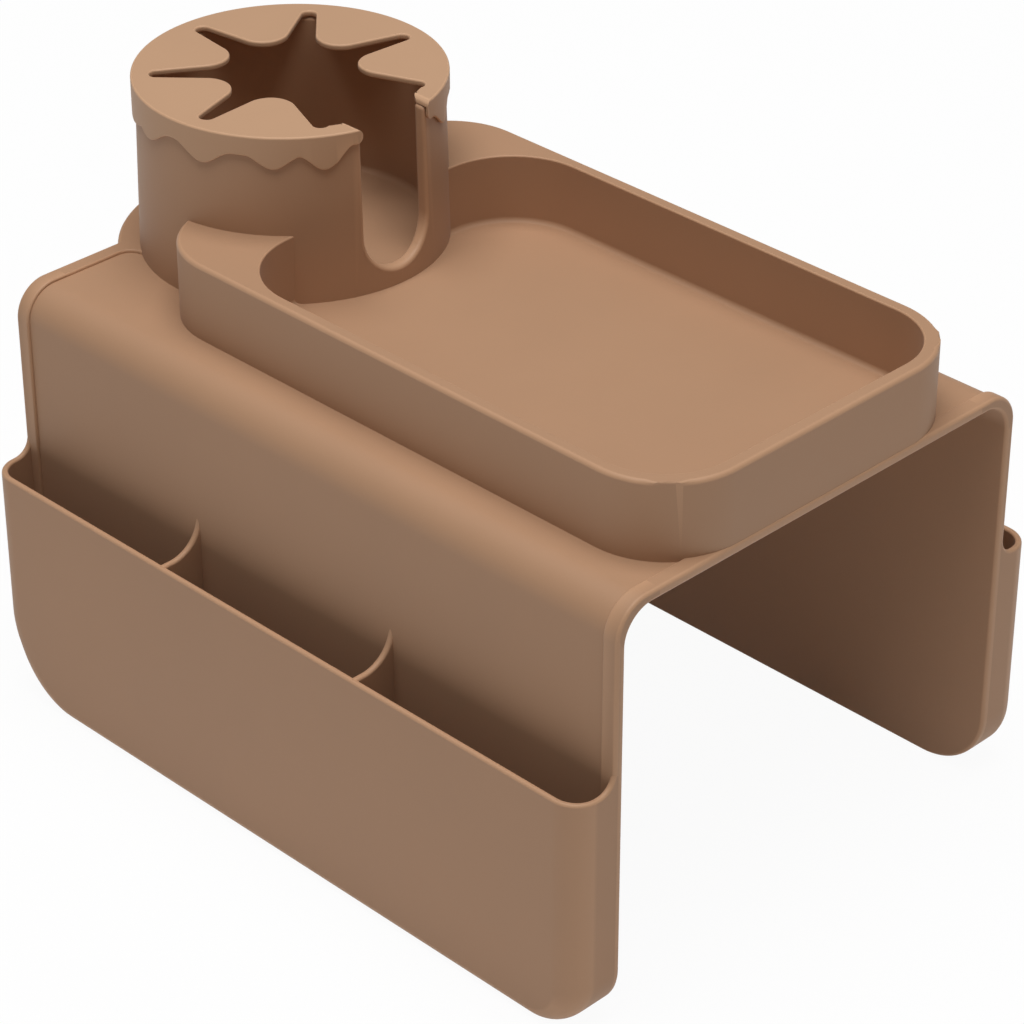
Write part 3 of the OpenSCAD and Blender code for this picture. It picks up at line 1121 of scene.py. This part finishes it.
@dataclass
class SidePocket(Assembly):
    """A pocket down one side, open at the top against the flap."""

    wall_t: float = 2.4 * MM
    floor_t: float = 3 * MM
    end_r: float = 11 * MM
    toe_r: float = 4.5 * MM
    ear_r: float = 6.5 * MM
    rim_r: float = 1.1 * MM
    root: float = 1.45 * MM
    panel_d: float = 1.2 * MM
    divider_t: float = 2.6 * MM
    sweep_r: float = 13 * MM
    over: float = 5 * MM
    dividers: dict[str, float] = field(default_factory=dict)

    def shell(
        self, name: str, corner_r: tuple[float, float], inset: float, base: float, inner: float, top: float
    ) -> Solid:
        """The near pocket's rounded block, drawn in all round.

        Args:
            name: The block's name.
            corner_r: The radii of the pocket's rear and front lower corners.
            inset: How far it is drawn in from the pocket's outside.
            base: The height of its foot.
            inner: The distance of its inner face from the arm's middle.
            top: The height of its top.

        Returns:
            The block.
        """
        at = self.at
        y = -(at.pocket_y - inset)
        ends = (at.rear_x + inset, at.front_x - inset)
        block = Solid.block(name, (ends[0], y, base), (ends[1], -inner, top))
        block.round_feet(ends, corner_r, inset, base, 20)
        wide = self.end_r - inset
        least = (self.toe_r - inset) / wide

        def share(a: Vector, b: Vector) -> float:
            """An outer edge's share of the widest rounding: least along the foot, whole above the corners."""
            if abs(a.y - y) > NEAR or abs(b.y - y) > NEAR or min(a.z, b.z) > top - NEAR:
                return 0.0
            rise = min(1.0, max(0.0, ((a.z + b.z) / 2 - base) / (corner_r[1] - inset)))
            return least + (1 - least) * rise ** 0.6
        return block.round_unevenly(wide, 10, share)

    def near(self, name: str, corner_r: tuple[float, float]) -> Solid:
        """The near pocket, with an ear at each end of its rim that sweeps up the flap.

        Args:
            name: The pocket's name.
            corner_r: The radii of its rear and front lower corners.

        Returns:
            The pocket.
        """
        at = self.at
        tall = at.pocket_z + self.ear_r
        inner = at.half_w - self.root
        pocket = self.shell(name, corner_r, 0, 0, inner, tall)
        hollow = self.shell("hollow_tool", corner_r, self.wall_t, self.floor_t, inner - 1 * MM, tall + 2 * MM)
        pocket.combine(hollow, Way.CUT)
        top = Solid.block("top_tool", (at.rear_x - self.over, -(at.pocket_y + self.over), at.pocket_z),
                          (at.front_x + self.over, -(at.half_w - 0.1 * MM), tall + self.over))
        top.round_edges(self.ear_r, 10, self.at_sweep)
        pocket.combine(top, Way.CUT)
        pocket.clean()
        return pocket.round_edges(self.rim_r, 4, lambda e: self.on_rim(e) and not all_at(e, 1, -inner))

    def at_sweep(self, edge: bmesh.types.BMEdge) -> bool:
        """Whether an edge of a cutter runs along the arm, just where the rim sweeps up the flap."""
        at = self.at
        return runs(edge, 0) and all_at(edge, 2, at.pocket_z) and edge.verts[0].co.y > -at.half_w

    def on_rim(self, edge: bmesh.types.BMEdge) -> bool:
        """Whether an edge stands out at the rim's height or above."""
        return sharp(edge, 50) and all(v.co.z > self.at.pocket_z - NEAR for v in edge.verts)

    def divider(self, name: str, x: float) -> Solid:
        """A divider's wall, level from the pocket's front and swept up the flap.

        Args:
            name: The divider's name.
            x: Where it stands along the arm.

        Returns:
            The divider.
        """
        at = self.at
        face = at.half_w - self.panel_d
        high = at.pocket_z + self.sweep_r
        half = self.divider_t / 2
        wall = Solid.block(name, (x - half, -(at.pocket_y - self.wall_t / 2), self.floor_t - 1 * MM),
                           (x + half, -(face - 1.3 * MM), high + 1 * MM))
        top = Solid.block("sweep_tool", (x - self.over, -(at.pocket_y + self.over), at.pocket_z),
                          (x + self.over, -(face - 0.05 * MM), high + self.over))
        top.round_edges(self.sweep_r, 16, self.at_sweep)
        wall.combine(top, Way.CUT)
        limit = self.shell(
            "divider_limit", NEAR_CORNER_R, self.wall_t / 2, self.floor_t / 2, face - 1.4 * MM, high + 2 * MM)
        wall.combine(limit, Way.COMMON)
        wall.clean()
        return wall.round_edges(self.rim_r, 4, lambda e: self.on_rim(e) and not runs(e, 0))

    def build(self) -> None:
        """Models both pockets and the near one's dividers, and ties them to the sides."""
        near = self.near("near_pocket_skin", NEAR_CORNER_R)
        far = self.near("far_model", FAR_CORNER_R).place("far_pocket_skin", mirror_y=True)
        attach(self.keep(near.finish(), "near_pocket"), "near_side")
        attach(self.keep(far.finish(), "far_pocket"), "far_side")
        for node, name in self.dividers.items():
            low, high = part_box(node)
            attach(self.keep(self.divider(name, (low.x + high.x) / 2).finish(), node), "near_side")


# -------- the studio


@dataclass(frozen=True)
class Studio:
    """A plain pale floor, soft light and the camera at the photograph's viewing angle."""

    aim: tuple[float, float, float] = (14.8 * MM, 1.5 * MM, 91.5 * MM)
    azimuth: float = math.radians(45.07)
    elevation: float = math.radians(31.77)
    distance: float = 1309.7 * MM
    lens: float = 127.54
    sensor: float = 36.0
    floor_size: float = 8.0
    floor_tone: float = 0.9
    white_share: float = 0.95
    fill: float = 0.14
    lamp_place: tuple[float, float, float] = (0.15, -0.25, 3.2)
    lamp_aim: tuple[float, float, float] = (0.0, 0.0, 0.1)
    lamp_size: float = 2.4
    lamp_power: float = 96.0

    def floor(self) -> None:
        """Lays a wide pale floor that shows white and keeps a faint shadow."""
        clear_bench()
        bpy.ops.mesh.primitive_plane_add(size=self.floor_size, location=(0, 0, -0.2 * MM))
        plane = bpy.context.object
        plane.name = "floor"
        s = Shader("pale_floor")
        seen, glossy, through = (
            s.node("ShaderNodeLightPath", {}, {}, f"Is {ray} Ray") for ray in ("Camera", "Glossy", "Transmission"))
        matte = s.node("ShaderNodeBsdfDiffuse", {}, {"Color": (*(self.floor_tone,) * 3, 1)})
        white = s.node("ShaderNodeEmission", {}, {"Color": (1, 1, 1, 1), "Strength": 1.0})
        share = (seen + glossy + through) * self.white_share
        plane.data.materials.append(s.output(s.node("ShaderNodeMixShader", {}, {0: share, 1: matte, 2: white})))

    def sky(self) -> None:
        """Makes the world white for the camera, and a plain soft light for the rest."""
        world = bpy.data.worlds.new("studio")
        bpy.context.scene.world = world
        world.use_nodes = True
        tree = world.node_tree
        tree.nodes.clear()
        seen, through = (
            Shader.node_in(tree, "ShaderNodeLightPath", {}, {}, f"Is {ray} Ray") for ray in ("Camera", "Transmission"))
        strength = (seen + through) * (1 - self.fill) + self.fill
        light = Shader.node_in(tree, "ShaderNodeBackground", {}, {"Color": (1, 1, 1, 1), "Strength": strength})
        Shader.node_in(tree, "ShaderNodeOutputWorld", {}, {"Surface": light})

    def lamp(self) -> None:
        """Hangs a wide square lamp over the part."""
        bpy.ops.object.light_add(type="AREA", location=self.lamp_place)
        lamp = bpy.context.object
        lamp.name = lamp.data.name = "overhead"
        lamp.data.shape, lamp.data.size, lamp.data.energy = "SQUARE", self.lamp_size, self.lamp_power
        lamp.rotation_euler = (Vector(self.lamp_aim) - Vector(self.lamp_place)).to_track_quat("-Z", "Y").to_euler()

    def camera(self) -> None:
        """Sets the camera up from its azimuth, elevation and distance."""
        a, e = self.azimuth, self.elevation
        back = Vector((math.sin(a) * math.cos(e), -math.cos(a) * math.cos(e), math.sin(e)))
        bpy.ops.object.camera_add(location=Vector(self.aim) + back * self.distance)
        camera = bpy.context.object
        camera.name = "view"
        camera.rotation_mode = "QUATERNION"
        camera.rotation_quaternion = (-back).to_track_quat("-Z", "Y")
        camera.data.sensor_width, camera.data.lens = self.sensor, self.lens
        camera.data.clip_start, camera.data.clip_end = 0.05, 30
        bpy.context.scene.camera = camera

    def build(self) -> None:
        """Sets up the floor, the light and the camera."""
        self.floor()
        self.sky()
        self.lamp()
        self.camera()
        bpy.context.scene.view_settings.view_transform = "Standard"


def main() -> None:
    """Builds the studio and the part."""
    logging.basicConfig(level=logging.INFO, format="%(name)s: %(message)s")
    at = Datum.measured()
    skin = Silicone("tan_silicone", (0.442, 0.253, 0.1455)).material()
    # the collar's copy of the silicone is lighter than the rest of the part
    star = Silicone("tan_silicone_star", (0.52, 0.312, 0.184)).material()
    Studio().build()
    groups: list[Assembly] = [
        Saddle(at, skin),
        TrayWalls(at, skin),
        CupHolder(at, skin),
        StarCollar(at, star),
        SidePocket(at, skin, dividers={"rear_divider": "rear_divider_skin", "front_divider": "front_divider_skin"}),
    ]
    for group in groups:
        group.build()
        log.info("%s is built", type(group).__name__)
    clear_bench()


if __name__ == "__main__":
    main()
